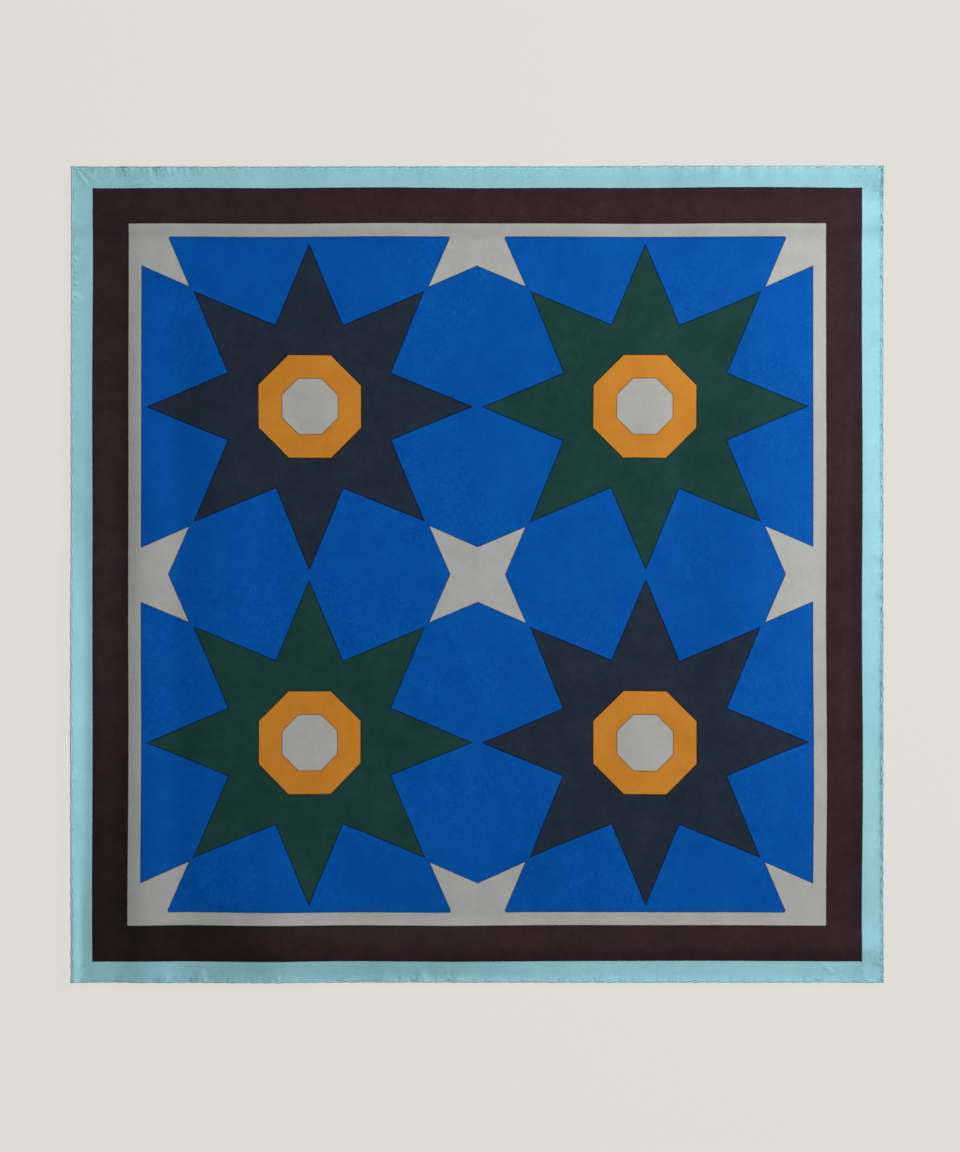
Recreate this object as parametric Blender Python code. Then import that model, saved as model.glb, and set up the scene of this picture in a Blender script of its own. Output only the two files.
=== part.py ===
"""A silk square scarf with hand-rolled hems, lying flat.

Metres, +Z up. The origin is on the surface that the scarf lies on, under its middle.
+X runs to the right hem and +Y to the top hem.
"""

import math
import random
from collections import namedtuple

import bmesh
import bpy
from mathutils import Vector
from mathutils.geometry import delaunay_2d_cdt

# Sizes over the hems, of the cloth's wall and of its rolled edge
WIDTH = 0.900
LENGTH = 0.904
CLOTH = 0.0011
HEM_WIDTH = 0.0030
HEM_HEIGHT = 0.0016
SEAM_GAP = 0.0003

# The roll's section: share of its width that rests flat, share of its height where it is widest,
# share of its width by which its top leans outwards, and the angles of its points over the top
ROLL_FOOT = 0.56
ROLL_WAIST = 0.40
ROLL_LEAN = 0.24
ROLL_ANGLES = (0, 60, 120, 180)

# The slip stitches draw the roll in, and gather the cloth behind it
STITCH_PITCH = 0.0136
STITCH_PINCH = 0.86
CORNER_PINCH = 0.94
CORNER_CLEAR = 0.008
PUCKER_EVERY = 3
PUCKER_HEIGHT = (0.0004, 0.0011)
PUCKER_HALF_WIDTH = 0.0105
PUCKER_REACH = (0.012, 0.022)

# Share of a fold's half length that keeps its full height
FOLD_CORE = 0.35

# Each side by its outward direction, its length, its distance from the middle, how full its roll
# is, and how strongly its stitches gather the cloth
Side = namedtuple("Side", "name out_x out_y length reach roll gather seed")
SIDES = (
    Side("top", 0, 1, WIDTH, LENGTH / 2, 1.00, 0.30, 11),
    Side("right", 1, 0, LENGTH, WIDTH / 2, 1.25, 0.40, 12),
    Side("bottom", 0, -1, WIDTH, LENGTH / 2, 1.00, 0.40, 13),
    Side("left", -1, 0, LENGTH, WIDTH / 2, 1.00, 0.30, 14),
)

# Stretches of hem that are gathered more: the side, how far the stretch's middle is clockwise
# along it, half its length, and how much more
Gathered = namedtuple("Gathered", "side along half_length more")
GATHERED = (
    Gathered("top", -0.365, 0.090, 1.00),
    Gathered("top", 0.275, 0.065, 0.50),
    Gathered("right", -0.010, 0.090, 0.50),
    Gathered("right", 0.430, 0.040, 0.50),
    Gathered("bottom", -0.120, 0.070, 0.40),
    Gathered("bottom", 0.076, 0.060, 0.90),
    Gathered("bottom", 0.243, 0.050, 0.60),
    Gathered("bottom", 0.328, 0.060, 0.80),
    Gathered("left", -0.243, 0.060, 0.60),
    Gathered("left", 0.330, 0.085, 1.00),
)

# Soft folds: middle and heading of the crest, its half length, the width of the flanks on its
# left and right, how far its middle bows to the left, and its height
Fold = namedtuple("Fold", "x y heading half_length left right bow height")
FOLDS = (
    # along the left hem
    Fold(-0.462, -0.040, 90, 0.520, 0.020, 0.072, 0.000, 0.0042),
    Fold(-0.457, -0.170, 90, 0.260, 0.020, 0.028, 0.000, 0.0034),
    Fold(-0.370, -0.020, 90, 0.560, 0.018, 0.050, 0.003, 0.0014),
    Fold(-0.372, -0.060, 90, 0.540, 0.030, 0.050, 0.003, 0.0012),
    Fold(-0.290, -0.030, 90, 0.400, 0.050, 0.050, 0.004, 0.0018),
    # along the right hem
    Fold(0.429, -0.130, 90, 0.460, 0.012, 0.030, 0.002, 0.0008),
    Fold(0.404, -0.010, 89, 0.360, 0.030, 0.012, 0.001, 0.0006),
    Fold(0.300, 0.020, 87, 0.420, 0.100, 0.120, -0.012, 0.0034),
    Fold(0.460, -0.190, 90, 0.200, 0.018, 0.020, 0.000, 0.0014),
    # along the top hem
    Fold(0.060, 0.391, 0, 0.760, 0.030, 0.019, -0.002, 0.0024),
    Fold(0.200, 0.450, 0, 0.560, 0.020, 0.028, 0.000, 0.0022),
    Fold(0.440, 0.462, 0, 0.420, 0.020, 0.075, 0.000, 0.0050),
    # along the bottom hem
    Fold(0.210, -0.4155, 0, 0.380, 0.036, 0.017, 0.002, 0.0024),
    Fold(-0.120, -0.418, 0, 0.240, 0.044, 0.034, 0.000, 0.0040),
    Fold(0.150, -0.462, 0, 0.360, 0.020, 0.020, 0.000, 0.0016),
    # across the field
    Fold(-0.175, 0.235, 28, 0.190, 0.070, 0.085, 0.018, 0.0026),
    Fold(0.150, 0.240, -18, 0.170, 0.100, 0.090, -0.016, 0.0016),
    Fold(0.205, -0.235, 42, 0.200, 0.085, 0.095, 0.014, 0.0026),
    Fold(-0.140, -0.260, -34, 0.190, 0.100, 0.090, -0.014, 0.0020),
    Fold(-0.235, -0.420, 90, 0.170, 0.150, 0.110, 0.000, 0.0060),
    Fold(-0.372, -0.440, 90, 0.150, 0.066, 0.060, 0.000, 0.0028),
    # corners that lift off the surface
    Fold(-0.462, 0.464, 45, 0.110, 0.050, 0.064, 0.000, 0.0020),
    Fold(0.460, 0.462, -45, 0.090, 0.050, 0.052, 0.000, 0.0016),
    Fold(0.463, -0.465, 45, 0.110, 0.066, 0.050, 0.000, 0.0030),
    Fold(-0.460, -0.462, -45, 0.090, 0.054, 0.050, 0.000, 0.0016),
)

# Rows of points round the panel: inset from the outer edge and spacing. The field has a square grid
Row = namedtuple("Row", "inset spacing")
ROWS = (
    Row(HEM_WIDTH + SEAM_GAP, STITCH_PITCH / 2),
    Row(0.0110, STITCH_PITCH / 2),
    Row(0.0200, STITCH_PITCH),
    Row(0.0345, STITCH_PITCH * 2),
    Row(0.0470, STITCH_PITCH * 2),
    Row(0.0610, STITCH_PITCH * 2),
    Row(0.0800, STITCH_PITCH * 2),
    Row(0.0970, STITCH_PITCH * 2),
)
FIELD_INSET = 0.118
FIELD_SPACING = 0.032

SILK_ROUGHNESS = 0.48
PANEL_BLUE = (0.006, 0.090, 0.350, 1.0)
HEM_CYAN = (0.300, 0.550, 0.610, 1.0)


def ease(t):
    """1 at t = 0, falling smoothly to 0 at t = 1 and beyond."""
    return 0.5 + 0.5 * math.cos(math.pi * min(max(t, 0.0), 1.0))


def place(side, along, inset):
    """The point at a distance clockwise from a side's middle, and inset from its outer edge."""
    out = side.reach - inset
    return side.out_x * out + side.out_y * along, side.out_y * out - side.out_x * along


def stitch_places(side):
    """How far along a side each slip stitch is, from the side's middle."""
    count = 1 + int((side.length - 2 * CORNER_CLEAR) / STITCH_PITCH)
    return [(number - (count - 1) / 2) * STITCH_PITCH for number in range(count)]


def gather_strength(side, along):
    """How strongly the cloth is gathered at a place along a side."""
    stretches = [stretch for stretch in GATHERED if stretch.side == side.name]
    more = [s.more * ease(abs(along - s.along) / s.half_length) for s in stretches]
    return side.gather + sum(more)


def side_puckers(side):
    """(place along the side, height, reach inwards) of the larger gathers behind its hem."""
    draw = random.Random(side.seed)
    return [
        (along, gather_strength(side, along) * draw.uniform(*PUCKER_HEIGHT), draw.uniform(*PUCKER_REACH))
        for along in stitch_places(side)[1::PUCKER_EVERY]
    ]


PUCKERS = {side: side_puckers(side) for side in SIDES}


def fold_height(fold, x, y):
    heading = math.radians(fold.heading)
    along = (x - fold.x) * math.cos(heading) + (y - fold.y) * math.sin(heading)
    across = (y - fold.y) * math.cos(heading) - (x - fold.x) * math.sin(heading)
    reach = abs(along) / fold.half_length
    across -= fold.bow * (1 - reach * reach)
    flank = fold.left if across > 0 else fold.right
    end = (reach - FOLD_CORE) / (1 - FOLD_CORE)
    return fold.height * ease(abs(across) / flank) * ease(end)


def pucker_height(side, x, y):
    inset = side.reach - (x * side.out_x + y * side.out_y)
    at = x * side.out_y - y * side.out_x
    return sum(
        height * ease(abs(at - along) / PUCKER_HALF_WIDTH) * ease(inset / reach)
        for along, height, reach in PUCKERS[side]
    )


def lift(x, y):
    """Height of the cloth's underside above the surface. It is 0 wherever the cloth rests."""
    folds = sum(fold_height(fold, x, y) for fold in FOLDS)
    return folds + sum(pucker_height(side, x, y) for side in SIDES)


def silk(name, colour):
    material = bpy.data.materials.new(name)
    material.use_nodes = True
    shader = material.node_tree.nodes["Principled BSDF"]
    shader.inputs["Base Color"].default_value = colour
    shader.inputs["Roughness"].default_value = SILK_ROUGHNESS
    shader.inputs["Metallic"].default_value = 0.0
    material.diffuse_color = colour
    return material


def add_object(name, mesh, material, collection):
    """Turns a closed bmesh into a named object, with its faces pointing out."""
    bmesh.ops.recalc_face_normals(mesh, faces=mesh.faces[:])
    data = bpy.data.meshes.new(name)
    mesh.to_mesh(data)
    mesh.free()
    data.materials.append(material)
    data.shade_smooth()
    data.set_sharp_from_angle(angle=math.radians(40))
    collection.objects.link(bpy.data.objects.new(name, data))


def row_points(row):
    """Points round the panel at one inset, clockwise, each corner once."""
    points = []
    for side in SIDES:
        half = side.length / 2 - row.inset
        count = round(2 * half / row.spacing)
        points += [place(side, half * (2 * i / count - 1), row.inset) for i in range(count)]
    return points


def field_points():
    half_width = WIDTH / 2 - FIELD_INSET
    half_length = LENGTH / 2 - FIELD_INSET
    across = round(2 * half_width / FIELD_SPACING)
    down = round(2 * half_length / FIELD_SPACING)
    return [
        (half_width * (2 * i / across - 1), half_length * (2 * j / down - 1))
        for i in range(across + 1)
        for j in range(down + 1)
    ]


def add_panel(collection):
    """The silk square inside its hems: a sheet over the folds, given the cloth's thickness."""
    points = [Vector(point) for row in ROWS for point in row_points(row)]
    points += [Vector(point) for point in field_points()]
    flat, _, triangles, *_ = delaunay_2d_cdt(points, [], [], 0, 1e-6)
    mesh = bmesh.new()
    corners = [mesh.verts.new((x, y, lift(x, y))) for x, y in flat]
    for triangle in triangles:
        mesh.faces.new([corners[index] for index in triangle])
    raised = bmesh.ops.extrude_face_region(mesh, geom=mesh.faces[:], use_keep_orig=True)
    upper = [item for item in raised["geom"] if isinstance(item, bmesh.types.BMVert)]
    bmesh.ops.translate(mesh, verts=upper, vec=(0, 0, CLOTH))
    add_object("panel", mesh, silk("silk_ground", PANEL_BLUE), collection)


def roll_outline(side, pinch):
    """(inset, height) round the roll's section: flat underneath, round over the top."""
    rise = (1 - ROLL_WAIST) / max(math.sin(math.radians(angle)) for angle in ROLL_ANGLES)
    outline = [(-ROLL_FOOT / 2, 0.0), (ROLL_FOOT / 2, 0.0)]
    for degrees in ROLL_ANGLES:
        angle = math.radians(degrees)
        inwards = math.cos(angle) / 2 - ROLL_LEAN * math.sin(angle)
        outline.append((inwards, ROLL_WAIST + rise * math.sin(angle)))
    return [
        (HEM_WIDTH * (0.5 + inwards * pinch), HEM_HEIGHT * side.roll * height * pinch)
        for inwards, height in outline
    ]


def hem_rings(side):
    """Sections of one side's roll, drawn in at each stitch, with mitred ends."""
    mitre = side.length / 2 - SEAM_GAP / math.sqrt(2)
    stitches = stitch_places(side)
    stations = [(-mitre, CORNER_PINCH)]
    for along in stitches:
        stations += [(along, STITCH_PINCH), (along + STITCH_PITCH / 2, 1.0)]
    stations[-1] = (mitre, CORNER_PINCH)
    rings = []
    for along, pinch in stations:
        mitred = abs(along) == mitre
        base = lift(*place(side, along, HEM_WIDTH / 2))
        ring = []
        for inset, height in roll_outline(side, pinch):
            shift = math.copysign(inset, along) if mitred else 0.0
            ring.append((*place(side, along - shift, inset), base + height))
        rings.append(ring)
    return rings


def add_hem(side, material, collection):
    mesh = bmesh.new()
    rings = [[mesh.verts.new(point) for point in ring] for ring in hem_rings(side)]
    count = len(rings[0])
    for ring, following in zip(rings, rings[1:]):
        for i in range(count):
            j = (i + 1) % count
            mesh.faces.new((ring[i], ring[j], following[j], following[i]))
    mesh.faces.new(rings[0])
    mesh.faces.new(rings[-1])
    add_object("hem_" + side.name, mesh, material, collection)


def main():
    for obj in list(bpy.data.objects):
        bpy.data.objects.remove(obj, do_unlink=True)
    collection = bpy.data.collections.new("silk_square_scarf")
    bpy.context.scene.collection.children.link(collection)
    add_panel(collection)
    hem_silk = silk("silk_hem", HEM_CYAN)
    for side in SIDES:
        add_hem(side, hem_silk, collection)


main()
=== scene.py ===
"""Looks of a silk square scarf with hand-rolled hems, laid flat on a pale surface.

Metres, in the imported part's frame: the scarf lies on z = 0, +X runs to the right hem and +Y to the
top hem. The sheet, its rolled hems and their stitches are meshes worked out from the part's sizes.
"""

import math
import random
from collections import namedtuple

import bpy
import numpy as np
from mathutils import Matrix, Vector, noise


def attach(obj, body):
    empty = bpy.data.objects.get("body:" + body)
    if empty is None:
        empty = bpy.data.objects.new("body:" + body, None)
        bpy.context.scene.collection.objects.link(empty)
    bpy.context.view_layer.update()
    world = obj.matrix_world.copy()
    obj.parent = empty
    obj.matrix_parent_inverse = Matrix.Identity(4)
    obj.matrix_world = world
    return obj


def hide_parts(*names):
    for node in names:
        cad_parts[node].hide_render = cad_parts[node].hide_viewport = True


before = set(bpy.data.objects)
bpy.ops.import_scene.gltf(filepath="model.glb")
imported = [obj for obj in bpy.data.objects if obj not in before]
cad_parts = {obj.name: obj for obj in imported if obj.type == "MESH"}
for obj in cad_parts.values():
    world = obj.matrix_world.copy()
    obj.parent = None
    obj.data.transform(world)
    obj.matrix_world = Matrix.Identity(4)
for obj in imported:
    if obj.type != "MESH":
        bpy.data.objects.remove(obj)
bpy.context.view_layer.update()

# ---------------------------------------------------------------------------------------------
# The part's own sizes and folds
# ---------------------------------------------------------------------------------------------

WIDTH = 0.900
LENGTH = 0.904
CLOTH = 0.0011
HEM_WIDTH = 0.0030
HEM_HEIGHT = 0.0016
ROLL_FOOT = 0.56
ROLL_WAIST = 0.40
ROLL_LEAN = 0.24
STITCH_PITCH = 0.0136
STITCH_PINCH = 0.86
CORNER_CLEAR = 0.008
PUCKER_EVERY = 3
PUCKER_HEIGHT = (0.0004, 0.0011)
PUCKER_HALF_WIDTH = 0.0105
PUCKER_REACH = (0.012, 0.022)
FOLD_CORE = 0.35

# Each side by its outward direction, its length, its distance from the middle, how full its roll
# is, and how strongly its stitches gather the cloth
Side = namedtuple("Side", "name out_x out_y length reach roll gather seed")
SIDES = (
    Side("top", 0, 1, WIDTH, LENGTH / 2, 1.00, 0.30, 11),
    Side("right", 1, 0, LENGTH, WIDTH / 2, 1.25, 0.40, 12),
    Side("bottom", 0, -1, WIDTH, LENGTH / 2, 1.00, 0.40, 13),
    Side("left", -1, 0, LENGTH, WIDTH / 2, 1.00, 0.30, 14),
)

# Stretches of hem that are gathered more: the side, how far the stretch's middle is clockwise
# along it, half its length, and how much more
Gathered = namedtuple("Gathered", "side along half_length more")
GATHERED = (
    Gathered("top", -0.365, 0.090, 1.00),
    Gathered("top", 0.275, 0.065, 0.50),
    Gathered("right", -0.010, 0.090, 0.50),
    Gathered("right", 0.430, 0.040, 0.50),
    Gathered("bottom", -0.120, 0.070, 0.40),
    Gathered("bottom", 0.076, 0.060, 0.90),
    Gathered("bottom", 0.243, 0.050, 0.60),
    Gathered("bottom", 0.328, 0.060, 0.80),
    Gathered("left", -0.243, 0.060, 0.60),
    Gathered("left", 0.330, 0.085, 1.00),
)

# Folds of the solid: middle and heading of the crest, its half length, the width of the flanks on
# its left and right, how far its middle bows to the left, and its height
Fold = namedtuple("Fold", "x y heading half_length left right bow height")
FOLDS = (
    # along the left hem
    Fold(-0.462, -0.040, 90, 0.520, 0.020, 0.072, 0.000, 0.0042),
    Fold(-0.457, -0.170, 90, 0.260, 0.020, 0.028, 0.000, 0.0034),
    Fold(-0.370, -0.020, 90, 0.560, 0.018, 0.050, 0.003, 0.0014),
    Fold(-0.372, -0.060, 90, 0.540, 0.030, 0.050, 0.003, 0.0012),
    Fold(-0.290, -0.030, 90, 0.400, 0.050, 0.050, 0.004, 0.0018),
    # along the right hem
    Fold(0.429, -0.130, 90, 0.460, 0.012, 0.030, 0.002, 0.0008),
    Fold(0.404, -0.010, 89, 0.360, 0.030, 0.012, 0.001, 0.0006),
    Fold(0.300, 0.020, 87, 0.420, 0.100, 0.120, -0.012, 0.0034),
    Fold(0.460, -0.190, 90, 0.200, 0.018, 0.020, 0.000, 0.0014),
    # along the top hem
    Fold(0.060, 0.391, 0, 0.760, 0.030, 0.019, -0.002, 0.0024),
    Fold(0.200, 0.450, 0, 0.560, 0.020, 0.028, 0.000, 0.0022),
    Fold(0.440, 0.462, 0, 0.420, 0.020, 0.075, 0.000, 0.0050),
    # along the bottom hem
    Fold(0.210, -0.4155, 0, 0.380, 0.036, 0.017, 0.002, 0.0024),
    Fold(-0.120, -0.418, 0, 0.240, 0.044, 0.034, 0.000, 0.0040),
    Fold(0.150, -0.462, 0, 0.360, 0.020, 0.020, 0.000, 0.0016),
    # across the field
    Fold(-0.175, 0.235, 28, 0.190, 0.070, 0.085, 0.018, 0.0026),
    Fold(0.150, 0.240, -18, 0.170, 0.100, 0.090, -0.016, 0.0016),
    Fold(0.205, -0.235, 42, 0.200, 0.085, 0.095, 0.014, 0.0026),
    Fold(-0.140, -0.260, -34, 0.190, 0.100, 0.090, -0.014, 0.0020),
    Fold(-0.235, -0.420, 90, 0.170, 0.150, 0.110, 0.000, 0.0060),
    Fold(-0.372, -0.440, 90, 0.150, 0.066, 0.060, 0.000, 0.0028),
    # corners that lift off the surface
    Fold(-0.462, 0.464, 45, 0.110, 0.050, 0.064, 0.000, 0.0020),
    Fold(0.460, 0.462, -45, 0.090, 0.050, 0.052, 0.000, 0.0016),
    Fold(0.463, -0.465, 45, 0.110, 0.066, 0.050, 0.000, 0.0030),
    Fold(-0.460, -0.462, -45, 0.090, 0.054, 0.050, 0.000, 0.0016),
)

# ---------------------------------------------------------------------------------------------
# Finer form
# ---------------------------------------------------------------------------------------------

# The cloth rises onto its rolled edge, where its own edge is tucked under the roll's skin
EDGE_RISE = 0.00008
EDGE_RISE_REACH = 0.0030
TUCK_INSET = 0.0019
TUCK_REACH = 0.0016
TUCK_DEPTH = 0.00004

# Folds beside the left hem whose flanks are too narrow for the solid
NARROW_FOLDS = (
    Fold(-0.4225, -0.100, 90, 0.500, 0.014, 0.030, 0.000, 0.0011),
    Fold(-0.4490, -0.180, 90, 0.065, 0.010, 0.016, 0.000, 0.0006),
    Fold(-0.4480, -0.430, 90, 0.150, 0.010, 0.011, 0.000, 0.0023),
)

# Soft creases in the cloth's face
CREASES = (
    # ripples left of the middle
    Fold(-0.252, 0.000, 88, 0.220, 0.030, 0.018, 0.006, 0.00055),
    Fold(-0.204, -0.010, 91, 0.170, 0.026, 0.022, -0.005, 0.00034),
    Fold(-0.150, 0.040, 86, 0.150, 0.030, 0.026, 0.004, 0.00026),
    # drag lines off the corners
    Fold(-0.439, 0.439, -58, 0.013, 0.003, 0.004, 0.001, 0.00034),
    Fold(-0.430, 0.443, -38, 0.018, 0.004, 0.004, -0.001, 0.00022),
    Fold(0.385, -0.436, -40, 0.016, 0.004, 0.005, 0.002, 0.00032),
    Fold(0.428, -0.428, 90, 0.032, 0.004, 0.005, 0.000, 0.00030),
    Fold(-0.434, -0.436, 48, 0.020, 0.006, 0.005, 0.001, 0.00040),
    Fold(0.437, 0.436, 40, 0.018, 0.005, 0.006, 0.001, 0.00024),
)

# Faint unevenness all over, as a cloth keeps after it was folded and smoothed: how far it runs
# along x and along y, and its height
Rumple = namedtuple("Rumple", "along_x along_y height seed")
RUMPLES = (
    Rumple(0.045, 0.130, 0.00055, 3.7),
    Rumple(0.120, 0.050, 0.00050, 8.2),
    Rumple(0.030, 0.034, 0.00026, 14.9),
)

# Small gathers that fan out behind each slip stitch, and the dimple at the stitch
GATHER_OFFSET = 0.0034
GATHER_DRIFT = 0.0014
GATHER_HEIGHT = (0.00006, 0.00032)
GATHER_HALF_WIDTH = (0.0020, 0.0044)
GATHER_REACH = (0.0060, 0.0155)
GATHER_SLANT = 0.35
DIMPLE_INSET = 0.0034
DIMPLE_RADIUS = 0.0024
DIMPLE_DEPTH = 0.00040

# Rows of points of the sheet: how many on a side, and their insets from the outer edge
Rows = namedtuple("Rows", "per_side insets")
FACE_ROWS = (
    Rows(640, (TUCK_INSET, 0.0028, 0.0036, 0.0046, 0.0058)),
    Rows(640, (0.0072, 0.0088, 0.0106, 0.0126, 0.0150)),
    Rows(320, (0.018, 0.021, 0.024, 0.0275, 0.031, 0.035)),
    Rows(320, (0.039, 0.043, 0.048, 0.053, 0.058)),
    Rows(160, (0.063,)),
)
UNDERSIDE_ROWS = (
    Rows(640, (TUCK_INSET,)),
    Rows(320, (0.0042, 0.0068, 0.0098)),
    Rows(160, (0.0140, 0.0220)),
    Rows(80, (0.0300,)),
)

# How far the print's lines stray from straight
PRINT_STRAY = 0.0009
PRINT_STRAY_LENGTHS = (0.16, 0.42)
PRINT_STRAY_WAVES = 3
PRINT_STRAY_SEED = 21

# The roll: stations on a side, points over its top, how square its section is, how uneven it is,
# and how far its crest slants from one stitch to the next
ROLL_STATIONS = 1320
ROLL_TOP_POINTS = 12
ROLL_TOP_ANGLES = (-12, 192)
ROLL_BODY = 0.43
ROLL_SQUARE = 2.6
ROLL_SLANT = 0.13
ROLL_PINCH_REACH = 0.0036
ROLL_FOOT_ROUND = 0.10
ROLL_FOOT_RISE = 0.05
ROLL_UNEVEN = 0.04
ROLL_UNEVEN_LENGTHS = (0.009, 0.060)
ROLL_SWAY = 0.00008
ROLL_SWAY_LENGTHS = (0.018, 0.120)
ROLL_WRINKLE = 0.00005
ROLL_WRINKLE_LENGTHS = (0.0016, 0.0050)
ROLL_WRINKLE_SLANT = 0.8
ROLL_WAVE_COUNT = 12

# A corner's mitred stretch, and the hair's breadth between the two rolls there
MITRE_REACH = 0.004
MITRE_GAP = 0.00004

# The slip stitches' thread
THREAD_RADIUS = 0.00019
THREAD_SPAN = 0.0021
THREAD_INSET = 0.0030
THREAD_LIE = 0.00004
THREAD_ARCH = 0.00026
THREAD_DIVE = 3.4
THREAD_TAPER = 0.25
THREAD_RINGS = 9
THREAD_SIDES = 6
THREAD_TURN = (-38, 38)

# What is added to a side's seed for each thing that is drawn along it
ROLL_UNEVEN_SEED = 40
ROLL_SWAY_SEED = 50
ROLL_WRINKLE_SEED = 60
THREAD_SEED = 70
ROLL_SLANT_SEED = 80
GATHER_SEED = 100


def ease(t):
    """1 at t = 0, falling smoothly to 0 at t = 1 and beyond."""
    return 0.5 + 0.5 * np.cos(np.pi * np.clip(t, 0.0, 1.0))


def place(side, along, inset):
    """Points at a distance clockwise from a side's middle, and inset from its outer edge."""
    out = side.reach - inset
    return side.out_x * out + side.out_y * along, side.out_y * out - side.out_x * along


def side_coordinates(side, x, y):
    """How far points are along a side, clockwise from its middle, and inset from its outer edge."""
    return x * side.out_y - y * side.out_x, side.reach - (x * side.out_x + y * side.out_y)


def edge_inset(x, y):
    """Distance inwards from the nearest outer edge."""
    return np.minimum(WIDTH / 2 - np.abs(x), LENGTH / 2 - np.abs(y))


def stitch_places(side):
    """How far along a side each slip stitch is, from the side's middle."""
    count = 1 + int((side.length - 2 * CORNER_CLEAR) / STITCH_PITCH)
    return [(number - (count - 1) / 2) * STITCH_PITCH for number in range(count)]


def gather_strength(side, along):
    """How strongly the cloth is gathered at a place along a side."""
    stretches = [stretch for stretch in GATHERED if stretch.side == side.name]
    more = [s.more * ease(abs(along - s.along) / s.half_length) for s in stretches]
    return side.gather + sum(more)


def side_puckers(side):
    """(place along the side, height, reach inwards) of the larger gathers behind its hem."""
    draw = random.Random(side.seed)
    puckers = []
    for along in stitch_places(side)[1::PUCKER_EVERY]:
        tall = gather_strength(side, along) * draw.uniform(*PUCKER_HEIGHT)
        puckers.append((along, tall, draw.uniform(*PUCKER_REACH)))
    return puckers


def fold_height(fold, x, y):
    """Height of one fold or crease."""
    heading = math.radians(fold.heading)
    along = (x - fold.x) * math.cos(heading) + (y - fold.y) * math.sin(heading)
    across = (y - fold.y) * math.cos(heading) - (x - fold.x) * math.sin(heading)
    reach = np.abs(along) / fold.half_length
    across = across - fold.bow * (1 - reach * reach)
    flank = np.where(across > 0, fold.left, fold.right)
    return fold.height * ease(np.abs(across) / flank) * ease((reach - FOLD_CORE) / (1 - FOLD_CORE))


def lift(x, y):
    """Height of the solid's underside above the surface. It is 0 wherever the cloth rests."""
    height = sum(fold_height(fold, x, y) for fold in FOLDS)
    for side in SIDES:
        at, inset = side_coordinates(side, x, y)
        for along, tall, reach in side_puckers(side):
            across = ease(np.abs(at - along) / PUCKER_HALF_WIDTH)
            height = height + tall * across * ease(inset / reach)
    return height


def edge_rise(inset):
    """How far the cloth rises towards its rolled edge."""
    return EDGE_RISE * ease((inset - HEM_WIDTH) / EDGE_RISE_REACH)


def plane_waves(seed, count, lengths):
    """Seeded waves in all directions, as (x factor, y factor, phase) for a sine."""
    draw = random.Random(seed)
    waves = []
    for _ in range(count):
        heading = draw.uniform(0, math.tau)
        rate = math.tau / draw.uniform(*lengths)
        phase = draw.uniform(0, math.tau)
        waves.append((rate * math.cos(heading), rate * math.sin(heading), phase))
    return waves


def wave_sum(waves, x, y):
    return sum(np.sin(along_x * x + along_y * y + phase) for along_x, along_y, phase in waves)


def rumple_height(rumple, x, y):
    """Height of one layer of smooth, irregular unevenness."""
    points = zip(np.ravel(x / rumple.along_x), np.ravel(y / rumple.along_y))
    values = [noise.noise((across, down, rumple.seed)) for across, down in points]
    return rumple.height * np.reshape(values, np.shape(x))


def gather_height(side, x, y):
    """Height of the small gathers and dimples behind one side's stitches."""
    draw = random.Random(side.seed + GATHER_SEED)
    at, inset = side_coordinates(side, x, y)
    height = np.zeros_like(at)
    for stitch in stitch_places(side):
        strength = gather_strength(side, stitch)
        for towards in (-1, 1):
            along = stitch + towards * GATHER_OFFSET + draw.uniform(-GATHER_DRIFT, GATHER_DRIFT)
            tall = draw.uniform(*GATHER_HEIGHT) * strength
            half_width = draw.uniform(*GATHER_HALF_WIDTH)
            reach = draw.uniform(*GATHER_REACH)
            slant = draw.uniform(-GATHER_SLANT, GATHER_SLANT)
            off = np.abs(at - along - slant * inset) / half_width
            height += tall * ease(off) * ease((inset - HEM_WIDTH) / reach)
        dimple = np.hypot(at - stitch, inset - DIMPLE_INSET) / DIMPLE_RADIUS
        height -= DIMPLE_DEPTH * strength * ease(dimple)
    return height


def line_waves(seed, lengths):
    """Seeded waves along one line, as (rate, phase) for a sine."""
    draw = random.Random(seed)
    return [
        (math.tau / draw.uniform(*lengths), draw.uniform(0, math.tau))
        for _ in range(ROLL_WAVE_COUNT)
    ]


def line_wave_sum(waves, at):
    return sum(np.sin(rate * at + phase) for rate, phase in waves) / math.sqrt(len(waves))


def squared(value):
    """A sine or cosine that goes round a rounded square instead of a circle."""
    return math.copysign(abs(value) ** (2 / ROLL_SQUARE), value)


def roll_section():
    """Round the roll, as shares of its width and height: out from its middle, lean, height."""
    angles = np.radians(np.linspace(*ROLL_TOP_ANGLES, ROLL_TOP_POINTS))
    top = [(ROLL_BODY * squared(math.cos(a)), squared(math.sin(a))) for a in angles]
    section = [(out, up, ROLL_WAIST + (1 - ROLL_WAIST) * up) for out, up in top]
    for side in (-1, 1):
        corner = [(side * (ROLL_FOOT / 2 + ROLL_FOOT_ROUND), 0, ROLL_FOOT_RISE)]
        foot = [(side * ROLL_FOOT / 2, 0, 0)]
        section += corner + foot if side < 0 else foot + corner
    return np.array(section)


def nearest_stitch(side, along):
    """How far each point along a side is past its nearest stitch."""
    gaps = along[:, None] - np.array(stitch_places(side))[None, :]
    nearest = np.argmin(np.abs(gaps), axis=1)
    return gaps[np.arange(len(along)), nearest]


def side_waves(side, added_seed, lengths, at):
    """Seeded unevenness along a side."""
    return line_wave_sum(line_waves(side.seed + added_seed, lengths), at)


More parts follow.
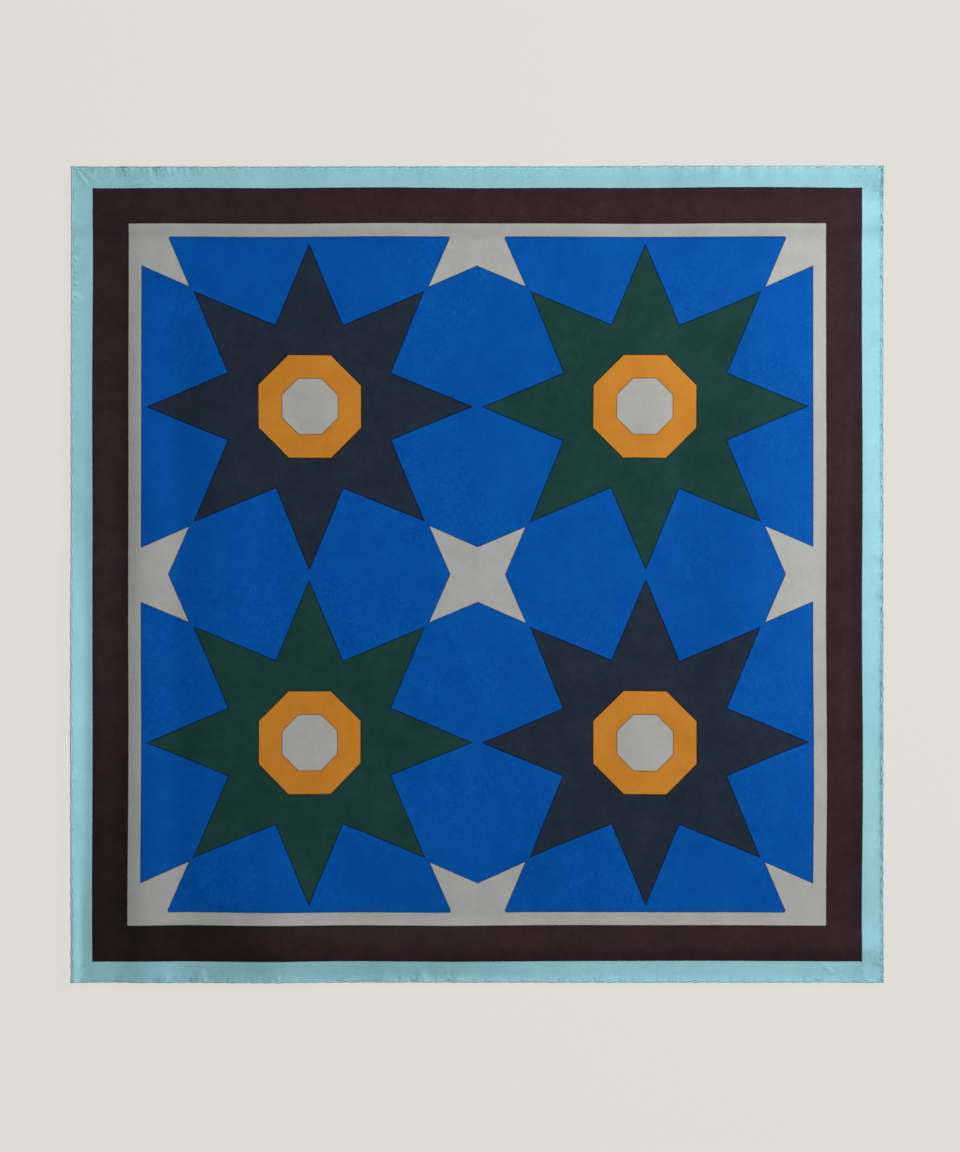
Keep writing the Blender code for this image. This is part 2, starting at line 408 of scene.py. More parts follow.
def roll_form(side, along):
    """The roll's size and lean at points along a side, and how far it strays inwards."""
    past = nearest_stitch(side, along)
    drawn_in = ease(np.abs(past) / ROLL_PINCH_REACH)
    plump = 1 + ROLL_UNEVEN * side_waves(side, ROLL_UNEVEN_SEED, ROLL_UNEVEN_LENGTHS, along)
    size = (1 - (1 - STITCH_PINCH) * drawn_in) * plump
    slant = 1 + side_waves(side, ROLL_SLANT_SEED, ROLL_SWAY_LENGTHS, along)
    # From just past a stitch to just before the next, the crest moves outwards
    phase = np.where(past > 0, -1, 1) * (1 - np.abs(past) / (STITCH_PITCH / 2)) * (1 - drawn_in)
    lean = ROLL_LEAN + ROLL_SLANT * slant * phase
    sway = ROLL_SWAY * side_waves(side, ROLL_SWAY_SEED, ROLL_SWAY_LENGTHS, along)
    return size, lean, sway


def roll_top(side, along, inset, relief):
    """Height of the roll's skin over its underside, at one inset on its inner flank."""
    size, _, sway = roll_form(side, along)
    section = roll_section()[:ROLL_TOP_POINTS]
    outs = section[:, 0] + ROLL_LEAN * section[:, 1]
    flank = slice(None, ROLL_TOP_POINTS // 2, -1)
    out = (0.5 - (inset - sway) / HEM_WIDTH) / size
    height = HEM_HEIGHT * side.roll * size + relief
    return height * np.interp(out, outs[flank], section[flank, 2])


def base_height(x, y):
    """Height of the cloth's underside and of the rolls' feet: the solid's form and narrow folds."""
    return lift(x, y) + sum(fold_height(fold, x, y) for fold in NARROW_FOLDS)


def soft_relief(x, y):
    """Creases and unevenness that the cloth's face and the rolls' tops share."""
    creases = sum(fold_height(crease, x, y) for crease in CREASES)
    return creases + sum(rumple_height(rumple, x, y) for rumple in RUMPLES)


def face_height(x, y):
    """Height of the cloth's printed face, with its finer form and its tucked edge."""
    inset = edge_inset(x, y)
    base = base_height(x, y)
    relief = soft_relief(x, y)
    height = base + CLOTH + edge_rise(inset) + relief
    near_edge = inset < HEM_WIDTH + GATHER_REACH[1]
    for side in SIDES:
        height[near_edge] += gather_height(side, x[near_edge], y[near_edge])
        along, side_inset = side_coordinates(side, x, y)
        tucked = (side_inset <= inset) & (inset < TUCK_INSET + TUCK_REACH)
        skin = roll_top(side, along[tucked], TUCK_INSET, relief[tucked])
        roll = base[tucked] + skin - TUCK_DEPTH
        share = ease((inset[tucked] - TUCK_INSET) / TUCK_REACH)
        height[tucked] += (roll - height[tucked]) * share
    return height


# ---------------------------------------------------------------------------------------------
# Meshes
# ---------------------------------------------------------------------------------------------


def add_piece(name, points, faces, materials, collection):
    mesh = bpy.data.meshes.new(name)
    mesh.from_pydata([tuple(map(float, point)) for point in points], [], faces)
    for material in materials:
        mesh.materials.append(material)
    mesh.shade_smooth()
    mesh.update()
    piece = bpy.data.objects.new(name, mesh)
    collection.objects.link(piece)
    return piece


def set_flat_map(piece, coordinates):
    """Stores each point's place on the flat cloth, in metres, as the UV map that materials read."""
    mesh = piece.data
    flat = mesh.uv_layers.new(name="flat")
    corners = np.empty(len(mesh.loops), dtype=np.int32)
    mesh.loops.foreach_get("vertex_index", corners)
    flat.data.foreach_set("uv", coordinates[corners].astype(np.float32).ravel())


def ring(inset, per_side):
    """Points round the sheet at one inset, clockwise from its top left corner."""
    steps = 2 * np.arange(per_side) / per_side - 1
    sides = [place(side, (side.length / 2 - inset) * steps, inset) for side in SIDES]
    return np.concatenate([np.column_stack(points) for points in sides])


def ring_faces(outer, outer_count, inner, inner_count):
    """Faces between two rings of points, whose counts are the same or two to one."""
    faces = []
    step = outer_count // inner_count
    for k in range(inner_count):
        near, far = inner + k, inner + (k + 1) % inner_count
        first, last = outer + k * step, outer + (k + 1) * step % outer_count
        if step == 1:
            faces.append((near, far, last, first))
            continue
        middle = first + 1
        faces += [(near, far, middle), (far, last, middle), (near, middle, first)]
    return faces


def grid_indices(per_side, first_ring, first_inside):
    """Point numbers of the square grid whose border is the innermost ring."""
    n = per_side
    grid = np.empty((n + 1, n + 1), dtype=int)
    steps = np.arange(n)
    grid[0, steps] = first_ring + steps
    grid[steps, n] = first_ring + n + steps
    grid[n, n - steps] = first_ring + 2 * n + steps
    grid[n - steps, 0] = first_ring + 3 * n + steps
    grid[1:n, 1:n] = first_inside + np.arange((n - 1) * (n - 1)).reshape(n - 1, n - 1)
    return grid


def sheet(rows):
    """(points, faces) of a flat sheet: rings of points at the given insets round a square grid."""
    points = []
    faces = []
    total = 0
    previous = None
    for per_side, insets in rows:
        for inset in insets:
            count = 4 * per_side
            points.append(ring(inset, per_side))
            if previous is not None:
                faces += ring_faces(*previous, total, count)
            previous = (total, count)
            total += count
    steps = 2 * np.arange(1, per_side) / per_side - 1
    x, y = np.meshgrid((WIDTH / 2 - inset) * steps, -(LENGTH / 2 - inset) * steps)
    points.append(np.column_stack((x.ravel(), y.ravel())))
    grid = grid_indices(per_side, previous[0], total)
    cells = np.stack((grid[1:, :-1], grid[1:, 1:], grid[:-1, 1:], grid[:-1, :-1]), axis=-1)
    faces += [tuple(cell) for cell in cells.reshape(-1, 4).tolist()]
    return np.concatenate(points), faces


def flat_place(x, y):
    """Where points lie on the flat print, whose lines stray a little from straight."""
    stray = []
    for seed in (PRINT_STRAY_SEED, PRINT_STRAY_SEED + 1):
        waves = plane_waves(seed, PRINT_STRAY_WAVES, PRINT_STRAY_LENGTHS)
        stray.append(wave_sum(waves, x, y) / PRINT_STRAY_WAVES)
    return np.column_stack((x + PRINT_STRAY * stray[0], y + PRINT_STRAY * stray[1]))


def build_panel(face_material, underside_material, collection):
    """The silk sheet: a printed face over the folds and gathers, and a paler underside."""
    face_points, face_faces = sheet(FACE_ROWS)
    under_points, under_faces = sheet(UNDERSIDE_ROWS)
    top = face_height(*face_points.T)
    under_x, under_y = under_points.T
    bottom = base_height(under_x, under_y) + edge_rise(edge_inset(under_x, under_y))
    points = np.concatenate((
        np.column_stack((face_points, top)),
        np.column_stack((under_points, bottom)),
    ))
    start = len(face_points)
    faces = list(face_faces)
    faces += [tuple(start + corner for corner in reversed(face)) for face in under_faces]
    rim = 4 * FACE_ROWS[0].per_side
    faces += [(k, (k + 1) % rim, start + (k + 1) % rim, start + k) for k in range(rim)]
    panel = add_piece("silk_panel", points, faces, (face_material, underside_material), collection)
    slots = np.zeros(len(faces), dtype=np.int32)
    slots[len(face_faces):len(face_faces) + len(under_faces)] = 1
    panel.data.polygons.foreach_set("material_index", slots)
    set_flat_map(panel, flat_place(*points[:, :2].T))
    return panel


def hem_points(side):
    """Rings of points round one side's roll, each ring's place along it, and the arc round it."""
    mitre = side.length / 2 - MITRE_GAP
    along = np.linspace(-mitre, mitre, ROLL_STATIONS)
    section = roll_section()
    size, lean, sway = roll_form(side, along)
    middle = place(side, along, HEM_WIDTH / 2)
    base = base_height(*middle)
    relief = soft_relief(*middle)
    steps = np.diff(section[:, (0, 2)] * (HEM_WIDTH, HEM_HEIGHT), axis=0)
    arc = np.concatenate(([0], np.cumsum(np.hypot(*steps.T))))
    lines = []
    for (out, leaning, height), turn in zip(section, arc):
        turned = along + ROLL_WRINKLE_SLANT * turn
        wave = side_waves(side, ROLL_WRINKLE_SEED, ROLL_WRINKLE_LENGTHS, turned)
        swell = size * (1 + ROLL_WRINKLE / HEM_HEIGHT * wave)
        inset = HEM_WIDTH * (0.5 - (out + lean * leaning) * swell) + sway
        # The ends are cut at 45 degrees, so a point there moves along by its inset
        at_end = np.abs(along) > mitre - MITRE_REACH
        cut = along * (1 - np.clip(inset, 0, None) / mitre)
        x, y = place(side, np.where(at_end, cut, along), inset)
        rise = HEM_HEIGHT * side.roll * swell + relief
        lines.append(np.column_stack((x, y, base + rise * height)))
    return np.stack(lines, axis=1), along, arc


def tube_faces(rings, sides, first=0):
    """Faces of a closed tube whose points are rings of a number of sides, with both ends capped."""
    faces = []
    for ring_number in range(rings - 1):
        here = first + ring_number * sides
        for i in range(sides):
            j = (i + 1) % sides
            faces.append((here + i, here + j, here + sides + j, here + sides + i))
    last = first + (rings - 1) * sides
    faces.append(tuple(reversed(range(first, first + sides))))
    faces.append(tuple(range(last, last + sides)))
    return faces


def build_hem(side, material, collection):
    """One side's rolled edge, drawn in at each stitch, with mitred ends."""
    points, along, arc = hem_points(side)
    stations, count, _ = points.shape
    faces = tube_faces(stations, count)
    name = "rolled_hem_" + side.name
    hem = add_piece(name, points.reshape(-1, 3), faces, (material,), collection)
    set_flat_map(hem, np.column_stack((np.repeat(along, count), np.tile(arc, stations))))
    return hem


def thread_points(centre, across, along_side):
    """Rings of a short thread loop that arches over the cloth and dives in at both ends."""
    up = Vector((0, 0, 1))
    points = []
    for step in range(THREAD_RINGS):
        t = 2 * step / (THREAD_RINGS - 1) - 1
        rise = THREAD_ARCH * (1 - THREAD_DIVE * t * t)
        middle = centre + across * (THREAD_SPAN / 2 * t) + up * rise
        radius = THREAD_RADIUS * (1 - THREAD_TAPER * t * t)
        for number in range(THREAD_SIDES):
            angle = math.tau * number / THREAD_SIDES
            points.append(middle + (along_side * math.cos(angle) + up * math.sin(angle)) * radius)
    return points


def build_stitches(side, material, collection):
    """The visible part of each slip stitch on one side, where the roll meets the sheet."""
    draw = random.Random(side.seed + THREAD_SEED)
    inwards = Vector((-side.out_x, -side.out_y, 0))
    sideways = Vector((side.out_y, -side.out_x, 0))
    along = np.array(stitch_places(side))
    x, y = place(side, along, THREAD_INSET)
    heights = face_height(x, y) + THREAD_LIE
    points = []
    faces = []
    for centre in np.column_stack((x, y, heights)):
        turn = math.radians(draw.uniform(*THREAD_TURN))
        across = inwards * math.cos(turn) + sideways * math.sin(turn)
        along_side = sideways * math.cos(turn) - inwards * math.sin(turn)
        faces += tube_faces(THREAD_RINGS, THREAD_SIDES, len(points))
        points += thread_points(Vector(centre), across, along_side)
    return add_piece("slip_stitches_" + side.name, points, faces, (material,), collection)


# ---------------------------------------------------------------------------------------------
# Materials
# ---------------------------------------------------------------------------------------------

# Inks, as they look on the cloth, in 8-bit sRGB
INKS = {
    "cyan": (144, 195, 205),
    "plum": (50, 34, 38),
    "darker plum": (39, 28, 30),
    "grey": (163, 164, 161),
    "blue": (6, 78, 158),
    "navy": (34, 43, 57),
    "orange": (190, 124, 43),
    "green": (27, 60, 55),
}

# The print's bands, in distances from the outer edge
CYAN_BAND = 0.024
PLUM_BAND = 0.063
GREY_LINE = 0.078

# The plum band's colour grows darker between these distances towards the lower left corner
PLUM_DARKENING = (0.48, 0.72)

# Its large stars stand two by two, with small ones where four would meet. A star is the number of
# its points, the distance of their tips, and the share of it at which the notches are
STAR_PITCH = WIDTH - 2 * GREY_LINE
LARGE_STAR = (8, 0.180, 0.541)
SMALL_STAR = (4, 0.076, 0.400)
ORANGE_OCTAGON = 0.057
GREY_OCTAGON = 0.031

# How soft an ink's edge is, how far it wanders, and the rim where it lies over the next ink
INK_EDGE = 0.00035
EDGE_WANDER = 0.0005
EDGE_WANDER_SCALE = 260.0
OVERPRINT_REACH = 0.0007
OVERPRINT_FADE = 0.0004
OVERPRINT_SHARE = 0.85

# Unevenness of the dye's depth, of its specks, and of the cloth's threads along and across
# themselves. A noise is its scale, its detail and its roughness
DYE_NOISE = (26.0, 5.0, 0.95)
DYE_UNEVEN = 0.28
SPECK_NOISE = (900.0, 3.0, 0.6)
SPECK_UNEVEN = 0.14
WEAVE_SCALES = (60, 1400)
WEAVE_DETAIL = (2.0, 0.6)
WEAVE_UNEVEN = 0.05

# Short flecks along the threads of the blue ink: how fine they are along and across themselves, how
# strong, how wide the patches with more of them are, and their least share elsewhere
FLECK_SCALES = (140, 600)
FLECK_DETAIL = (1.0, 0.5)
FLECK_UNEVEN = 1.10
FLECK_PATCH_SCALE = 7.0
FLECK_PATCH = (0.38, 0.62)
FLECK_LEAST = 0.25

# Unevenness of the roll's ink
HEM_PATCH_SCALE = 160.0
HEM_PATCH_UNEVEN = 0.16

# The roll's colour is darkened on its outer turn, between these distances round its skin: painted
# shade where the roll turns down and away
OUTER_TURN_PAINTED_SHADE = (0.0013, 0.0028)
OUTER_TURN_PAINTED_SHADE_LEVEL = 0.57

# The cloth's finish, and its twill's wales: how far apart, how high, how much they drift from
# straight, and how strong the roughness between them is
SILK_ROUGHNESS = 0.46
SILK_SPECULAR = 0.015
SILK_SHEEN = 0.01
SILK_SHEEN_ROUGHNESS = 0.35
TWILL_PITCH = 0.00045
TWILL_BUMP = 0.00004
TWILL_STRENGTH = 0.6
TWILL_DRIFT = 0.0008
TWILL_DRIFT_SCALE = 130.0
TWILL_ROUGH = 3.0
TWILL_ROUGH_NOISE = (700.0, 3.0, 0.6)

# The reverse: how much paler it is, towards which colour, and its finish
REVERSE_PALENESS = 0.22
UNDYED_SILK = (214, 212, 206)
REVERSE_ROUGHNESS = 0.55

# The slip stitches' thread
THREAD_COLOUR = (190, 222, 226)
THREAD_PLY_SCALE = 2400.0
THREAD_PLY_UNEVEN = 0.5
THREAD_PLY_BUMP = 0.00003
THREAD_ROUGHNESS = 0.5

# A colour mix node's two colour inputs, and its colour output
MIX_COLOURS = (6, 7)
MIX_RESULT = 2


def linear(srgb):
    """An 8-bit sRGB colour as linear RGBA."""
    shares = [value / 255 for value in srgb]
    values = [s / 12.92 if s <= 0.04045 else ((s + 0.055) / 1.055) ** 2.4 for s in shares]
    return (*values, 1.0)


class Graph:
    """Short calls to add and link a material's nodes. Inputs are numbers, colours or sockets."""

    def __init__(self, name):
        self.material = bpy.data.materials.new(name)
        self.material.use_nodes = True
        self.tree = self.material.node_tree
        self.shader = self.tree.nodes["Principled BSDF"]

    def node(self, kind, inputs=(), **settings):
        node = self.tree.nodes.new(kind)
        for key, value in settings.items():
            setattr(node, key, value)
        for key, value in dict(inputs).items():
            self.set(node.inputs[key], value)
        return node

    def set(self, socket, value):
        if isinstance(value, bpy.types.NodeSocket):
            self.tree.links.new(value, socket)
        else:
            socket.default_value = value

    def math(self, operation, *values, clamp=False):
        node = self.node("ShaderNodeMath", operation=operation, use_clamp=clamp)
        for socket, value in zip(node.inputs, values):
            self.set(socket, value)
        return node.outputs[0]

    def mix(self, share, first, second):
        """The first colour where share is 0, and the second where it is 1."""
        node = self.node("ShaderNodeMix", {"Factor": share}, data_type="RGBA")
        for index, colour in zip(MIX_COLOURS, (first, second)):
            self.set(node.inputs[index], colour)
        return node.outputs[MIX_RESULT]

    def scale_colour(self, colour, factor):
        node = self.node("ShaderNodeVectorMath", {"Scale": factor}, operation="SCALE")
        self.set(node.inputs[0], colour)
        return node.outputs[0]

    def multiply(self, first, second):
        """One ink over another, which takes away what either of them takes away."""
        node = self.node("ShaderNodeVectorMath", operation="MULTIPLY")
        for socket, colour in zip(node.inputs, (first, second)):
            self.set(socket, colour[:3] if isinstance(colour, tuple) else colour)
        return node.outputs[0]

    def vary(self, value, amount):
        """About 1, varied by an amount in all as the value goes from 0 to 1."""
        return self.math("MULTIPLY_ADD", value, amount, 1 - amount / 2)

    def soft_step(self, value, start, end):
        """0 below the start, rising smoothly to 1 at the end."""
        inputs = {"Value": value, "From Min": start, "From Max": end}
        return self.node("ShaderNodeMapRange", inputs, interpolation_type="SMOOTHSTEP").outputs[0]

    def noise(self, vector, scale, detail=2.0, roughness=0.5):
        inputs = {"Vector": vector, "Scale": scale, "Detail": detail, "Roughness": roughness}
        return self.node("ShaderNodeTexNoise", inputs, noise_dimensions="2D").outputs[0]

    def thread_noises(self, flat, scales, detail):
        """Noise drawn out along the threads of one set, and along those that cross them."""
        noises = []
        for scale in ((*scales, 1), (*reversed(scales), 1)):
            inputs = {"Vector": flat, "Scale": scale}
            stretched = self.node("ShaderNodeMapping", inputs).outputs[0]
            noises.append(self.noise(stretched, 1.0, *detail))
        return noises

    def flat_map(self):
        """The place on the flat cloth, in metres: the vector, and its two numbers."""
        flat = self.node("ShaderNodeUVMap", uv_map="flat").outputs[0]
        parts = self.node("ShaderNodeSeparateXYZ", {"Vector": flat})
        return flat, parts.outputs[0], parts.outputs[1]


class Print:
    """The scarf's printed colours, laid one over the other."""

    def __init__(self, graph, ground, stray):
        self.graph = graph
        self.colour = ground
        self.stray = stray

    def ink(self, colour, distance):
        """Lays an ink inside its shape, where the distance is positive, with an overprinted rim."""
        math_node = self.graph.math
        distance = math_node("ADD", distance, self.stray)
        inside = math_node("MULTIPLY_ADD", distance, 1 / INK_EDGE, 0.5, clamp=True)
        depth = math_node("SUBTRACT", OVERPRINT_REACH, math_node("ABSOLUTE", distance))
        rim = math_node("MULTIPLY", depth, 1 / OVERPRINT_FADE, clamp=True)
        both = self.graph.multiply(self.colour, colour)
        laid = self.graph.mix(inside, self.colour, colour)
        self.colour = self.graph.mix(math_node("MULTIPLY", rim, OVERPRINT_SHARE), laid, both)


class Star:
    """A place on the cloth seen from a star's middle, folded onto one of the star's points."""

    def __init__(self, graph, u, v, points):
        m = graph.math
        self.graph = graph
        self.sector = math.tau / points
        radius = m("SQRT", m("ADD", m("MULTIPLY", u, u), m("MULTIPLY", v, v)))
        turn = m("ADD", m("ARCTAN2", v, u), self.sector / 2)
        turn = m("SUBTRACT", m("FLOORED_MODULO", turn, self.sector), self.sector / 2)
        self.forward = m("MULTIPLY", radius, m("COSINE", turn))
        self.aside = m("ABSOLUTE", m("MULTIPLY", radius, m("SINE", turn)))

    def inside(self, tip, notch_share):
        """Distance inside the star, whose notches are at a share of its tips' distance."""
        m = self.graph.math
        notch_forward = tip * notch_share * math.cos(self.sector / 2)
        notch_aside = tip * notch_share * math.sin(self.sector / 2)
        flank = math.hypot(tip - notch_forward, notch_aside)
        along = m("MULTIPLY", m("SUBTRACT", tip, self.forward), notch_aside / flank)
        return m("SUBTRACT", along, m("MULTIPLY", self.aside, (tip - notch_forward) / flank))

    def inside_polygon(self, apothem):
        """Distance inside the even-sided shape whose sides face the star's tips."""
        return self.graph.math("SUBTRACT", apothem, self.forward)


def flecked(graph, ink, flat):
    """An ink with short flecks along both sets of threads, more in some patches than in others."""
    m = graph.math
    patch = graph.soft_step(graph.noise(flat, FLECK_PATCH_SCALE), *FLECK_PATCH)
    least = FLECK_UNEVEN * FLECK_LEAST
    strength = m("MULTIPLY_ADD", patch, FLECK_UNEVEN - least, least)
    depth = 1.0
    for flecks in graph.thread_noises(flat, FLECK_SCALES, FLECK_DETAIL):
        flecks = m("SUBTRACT", flecks, 0.5)
        # Squared with its sign kept, so few of them stand out
        flecks = m("MULTIPLY", flecks, m("ABSOLUTE", flecks))
        depth = m("MULTIPLY_ADD", flecks, strength, depth)
    return graph.node("ShaderNodeGamma", {"Color": ink, "Gamma": depth}).outputs[0]


def lay_print(graph, flat, u, v, stray):
    """Bands round the edge, and a field of large and small stars, as patchwork has."""
    m = graph.math
    ink = {name: linear(colour) for name, colour in INKS.items()}
    off_u, off_v = m("ABSOLUTE", u), m("ABSOLUTE", v)
    inset = m("MINIMUM", m("SUBTRACT", WIDTH / 2, off_u), m("SUBTRACT", LENGTH / 2, off_v))
    design = Print(graph, ink["cyan"], stray)
    # The plum band is darker towards the lower left corner
    towards = m("MULTIPLY", m("ADD", u, v), -1.0)
    depth = graph.soft_step(towards, *PLUM_DARKENING)
    plum = graph.mix(depth, ink["plum"], ink["darker plum"])
    design.ink(plum, m("SUBTRACT", inset, CYAN_BAND))
    design.ink(ink["grey"], m("SUBTRACT", inset, PLUM_BAND))

    # The blue field leaves out small grey stars: one in the middle, and those its edge cuts through
    quarter = STAR_PITCH / 4
    past_u, past_v = m("SUBTRACT", off_u, quarter), m("SUBTRACT", off_v, quarter)
    near_u = m("SUBTRACT", quarter, m("ABSOLUTE", past_u))
    near_v = m("SUBTRACT", quarter, m("ABSOLUTE", past_v))
    diagonal = m("MULTIPLY", m("ADD", near_u, near_v), math.sqrt(0.5))
    other = m("MULTIPLY", m("SUBTRACT", near_u, near_v), math.sqrt(0.5))
    points, tip, notch_share = SMALL_STAR
    outside = m("MULTIPLY", Star(graph, diagonal, other, points).inside(tip, notch_share), -1.0)
    blue = flecked(graph, ink["blue"], flat)
    design.ink(blue, m("MINIMUM", outside, m("SUBTRACT", inset, GREY_LINE)))

    # One large star in each quarter of the field: two of navy and two of green
    points, tip, notch_share = LARGE_STAR
    star = Star(graph, past_u, past_v, points)
    opposite = m("GREATER_THAN", m("MULTIPLY", u, v), 0.0)
    design.ink(graph.mix(opposite, ink["navy"], ink["green"]), star.inside(tip, notch_share))
    design.ink(ink["orange"], star.inside_polygon(ORANGE_OCTAGON))
    design.ink(ink["grey"], star.inside_polygon(GREY_OCTAGON))
    return design.colour


def dyed(graph, ink, flat):
    """An ink as the cloth took it up: uneven, most in deep inks, with specks and threads."""
    depth = graph.vary(graph.noise(flat, *DYE_NOISE), DYE_UNEVEN)
    taken_up = graph.node("ShaderNodeGamma", {"Color": ink, "Gamma": depth}).outputs[0]
    shade = graph.vary(graph.noise(flat, *SPECK_NOISE), SPECK_UNEVEN)
    for threads in graph.thread_noises(flat, WEAVE_SCALES, WEAVE_DETAIL):
        shade = graph.math("MULTIPLY", shade, graph.vary(threads, WEAVE_UNEVEN))
    return graph.scale_colour(taken_up, shade)


def twill_bump(graph, flat, u, v):
    """Fine diagonal wales, broken up a little."""
    m = graph.math
    drift = m("MULTIPLY", graph.noise(flat, TWILL_DRIFT_SCALE), TWILL_DRIFT)
    diagonal = m("ADD", m("ADD", u, v), drift)
    wale = m("SINE", m("MULTIPLY", diagonal, math.tau / TWILL_PITCH))
    rough = m("MULTIPLY", graph.noise(flat, *TWILL_ROUGH_NOISE), TWILL_ROUGH)
    height = m("ADD", wale, rough)
    inputs = {"Height": height, "Distance": TWILL_BUMP, "Strength": TWILL_STRENGTH}
    return graph.node("ShaderNodeBump", inputs).outputs[0]


def finish_silk(graph, colour, normal, roughness=SILK_ROUGHNESS):
    """Silk's soft, low sheen over a colour."""
    shader = graph.shader
    graph.set(shader.inputs["Base Color"], colour)
    graph.set(shader.inputs["Normal"], normal)
    shader.inputs["Roughness"].default_value = roughness
    shader.inputs["Specular IOR Level"].default_value = SILK_SPECULAR
    shader.inputs["Sheen Weight"].default_value = SILK_SHEEN
    shader.inputs["Sheen Roughness"].default_value = SILK_SHEEN_ROUGHNESS
    return graph.material


def printed_silk():
    """The printed face."""
    graph = Graph("printed_silk_face")
    flat, u, v = graph.flat_map()
    wander = graph.noise(flat, EDGE_WANDER_SCALE)
    stray = graph.math("MULTIPLY_ADD", wander, EDGE_WANDER, -EDGE_WANDER / 2)
    colour = dyed(graph, lay_print(graph, flat, u, v, stray), flat)
    return finish_silk(graph, colour, twill_bump(graph, flat, u, v))


def silk_reverse():
    """The unprinted side, where the inks show through paler."""
    graph = Graph("printed_silk_reverse")
    flat, u, v = graph.flat_map()
    inks = lay_print(graph, flat, u, v, 0.0)
    colour = dyed(graph, graph.mix(REVERSE_PALENESS, inks, linear(UNDYED_SILK)), flat)
    return finish_silk(graph, colour, twill_bump(graph, flat, u, v), REVERSE_ROUGHNESS)


def hem_silk():
    """The rolled edge: the outer band's ink, uneven, with painted shade on the roll's outer turn."""
    graph = Graph("rolled_hem_silk")
    flat, along, arc = graph.flat_map()
    shade = graph.vary(graph.noise(flat, HEM_PATCH_SCALE), HEM_PATCH_UNEVEN)
    # Painted shade: the colour is darkened over the roll's outer turn, where it turns down
    turned = graph.soft_step(arc, *OUTER_TURN_PAINTED_SHADE)
    turned = graph.math("MULTIPLY_ADD", turned, 1 - OUTER_TURN_PAINTED_SHADE_LEVEL, OUTER_TURN_PAINTED_SHADE_LEVEL)
    shade = graph.math("MULTIPLY", shade, turned)
    colour = graph.scale_colour(dyed(graph, linear(INKS["cyan"]), flat), shade)
    return finish_silk(graph, colour, twill_bump(graph, flat, along, arc))


def thread_silk():
    """The slip stitches' thread, a little paler than the band it lies on."""
    graph = Graph("slip_stitch_thread")
    coordinates = graph.node("ShaderNodeTexCoord").outputs["Object"]
    ply = graph.noise(coordinates, THREAD_PLY_SCALE)
    shade = graph.vary(ply, THREAD_PLY_UNEVEN)
    colour = graph.scale_colour(linear(THREAD_COLOUR)[:3], shade)
    bump = graph.node("ShaderNodeBump", {"Height": ply, "Distance": THREAD_PLY_BUMP}).outputs[0]
    return finish_silk(graph, colour, bump, THREAD_ROUGHNESS)


# ---------------------------------------------------------------------------------------------
# Surface, light and camera
# ---------------------------------------------------------------------------------------------

PALE_SURFACE = (224, 221, 215)
FLOOR_HALF = 20.0
FLOOR_DROP = 0.0003
FLOOR_DIFFUSE_SHARE = 0.05
AMBIENT = 0.22
AMBIENT_COLOUR = (1.0, 0.99, 0.97, 1.0)
KEY_PLACE = (2.33, 1.37, 1.27)
KEY_SIZE = 1.5
KEY_SPREAD = 110
KEY_POWER = 65.0
CAMERA_PLACE = (0.0030, -0.0017, 3.015)
LENS = 85.0


def build_floor(collection):
    """A pale surface that glows evenly, and takes a faint shadow through its matt share."""
    graph = Graph("pale_surface")
    tree = graph.tree
    colour = linear(PALE_SURFACE)
    tree.nodes.remove(graph.shader)
    glow_colour = tuple(value * (1 - FLOOR_DIFFUSE_SHARE) for value in colour[:3]) + (1.0,)
    matt_colour = tuple(value * FLOOR_DIFFUSE_SHARE for value in colour[:3]) + (1.0,)
    glow = graph.node("ShaderNodeEmission", {"Color": glow_colour, "Strength": 1.0})
    matt = graph.node("ShaderNodeBsdfDiffuse", {"Color": matt_colour})
    both = graph.node("ShaderNodeAddShader")
    tree.links.new(glow.outputs[0], both.inputs[0])
    tree.links.new(matt.outputs[0], both.inputs[1])
    output = next(node for node in tree.nodes if node.type == "OUTPUT_MATERIAL")
    tree.links.new(both.outputs[0], output.inputs["Surface"])
    h = FLOOR_HALF
    corners = [(x, y, -FLOOR_DROP) for x, y in ((-h, -h), (h, -h), (h, h), (-h, h))]
    floor = add_piece("pale_floor", corners, [(0, 1, 2, 3)], (graph.material,), collection)
    floor.visible_diffuse = False
    floor.visible_glossy = False


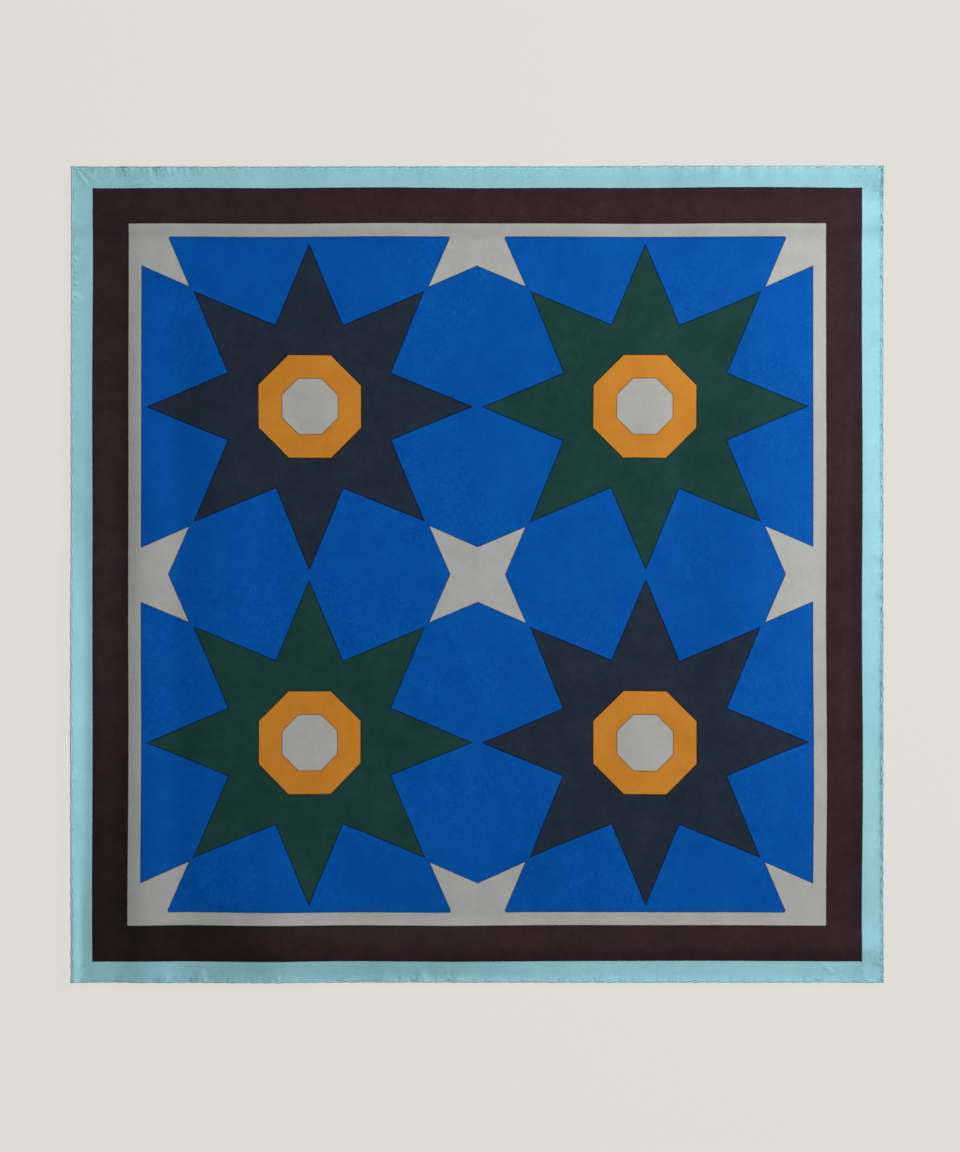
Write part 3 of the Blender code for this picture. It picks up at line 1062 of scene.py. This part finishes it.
def build_world():
    """Dim light from all round. The camera sees the surface's own pale colour beyond the floor."""
    world = bpy.data.worlds.new("pale_room")
    bpy.context.scene.world = world
    world.use_nodes = True
    nodes, links = world.node_tree.nodes, world.node_tree.links
    nodes.clear()
    ambient = nodes.new("ShaderNodeBackground")
    ambient.inputs["Color"].default_value = AMBIENT_COLOUR
    ambient.inputs["Strength"].default_value = AMBIENT
    seen = nodes.new("ShaderNodeBackground")
    seen.inputs["Color"].default_value = linear(PALE_SURFACE)
    seen.inputs["Strength"].default_value = 1 - FLOOR_DIFFUSE_SHARE * (1 - AMBIENT)
    path = nodes.new("ShaderNodeLightPath")
    mix = nodes.new("ShaderNodeMixShader")
    output = nodes.new("ShaderNodeOutputWorld")
    links.new(path.outputs["Is Camera Ray"], mix.inputs[0])
    links.new(ambient.outputs[0], mix.inputs[1])
    links.new(seen.outputs[0], mix.inputs[2])
    links.new(mix.outputs[0], output.inputs["Surface"])


def build_light(collection):
    """A soft light low at the upper right."""
    light = bpy.data.lights.new("window", "AREA")
    light.shape = "SQUARE"
    light.size = KEY_SIZE
    light.spread = math.radians(KEY_SPREAD)
    light.energy = KEY_POWER
    key = bpy.data.objects.new("window", light)
    key.location = KEY_PLACE
    key.rotation_euler = (-Vector(KEY_PLACE)).to_track_quat("-Z", "Y").to_euler()
    collection.objects.link(key)


def build_camera(collection):
    """Straight above the scarf."""
    camera = bpy.data.objects.new("camera", bpy.data.cameras.new("camera"))
    camera.data.lens = LENS
    camera.location = CAMERA_PLACE
    collection.objects.link(camera)
    bpy.context.scene.camera = camera


def main():
    scene = bpy.context.scene
    scene.view_settings.view_transform = "Standard"
    collection = scene.collection
    build_camera(collection)
    build_world()
    build_light(collection)
    build_floor(collection)

    panel = build_panel(printed_silk(), silk_reverse(), collection)
    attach(panel, "root")
    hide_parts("panel")
    edging = []
    roll_material, thread_material = hem_silk(), thread_silk()
    for side in SIDES:
        hem = build_hem(side, roll_material, collection)
        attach(hem, "root")
        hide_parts("hem_" + side.name)
        stitches = build_stitches(side, thread_material, collection)
        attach(stitches, "root")
        edging += [hem, stitches]


main()
